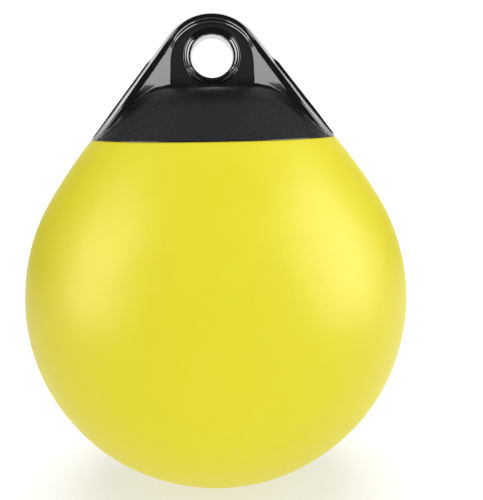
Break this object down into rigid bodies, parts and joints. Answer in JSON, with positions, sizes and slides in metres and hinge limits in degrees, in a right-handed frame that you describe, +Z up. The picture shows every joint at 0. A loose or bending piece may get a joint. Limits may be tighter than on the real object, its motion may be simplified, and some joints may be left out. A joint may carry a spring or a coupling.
{
  "type": "inflatable mooring buoy",
  "caption": "Round inflatable mooring buoy: hollow ball float under a moulded rope-eye end with a through eye, and an air valve with a screw plug on its shoulder.",
  "frame": {"origin": "on the axis of the ball, at the waterline of the free floating buoy", "axes": "+Z up the axis from the ball to the eye, +Y along the bore of the eye towards the side with the valve, +X across the lug"},
  "size_m": [0.3, 0.2998, 0.3703],
  "materials": {
    "yellow_vinyl": "satin",
    "black_vinyl": "gloss",
    "valve_rubber": "matte",
    "plug_nylon": "satin"
  },
  "bodies": {
    "buoy": {"float_ball": "yellow_vinyl", "eye_end": "black_vinyl", "valve_seat": "valve_rubber"},
    "plug": {"valve_plug": "plug_nylon"}
  },
  "joints": [
    {"name": "plug_lift", "type": "slide", "parent": "buoy", "child": "plug", "axis": [0, 0.7193, 0.6947], "range_m": [0, 0.04]}
  ]
}
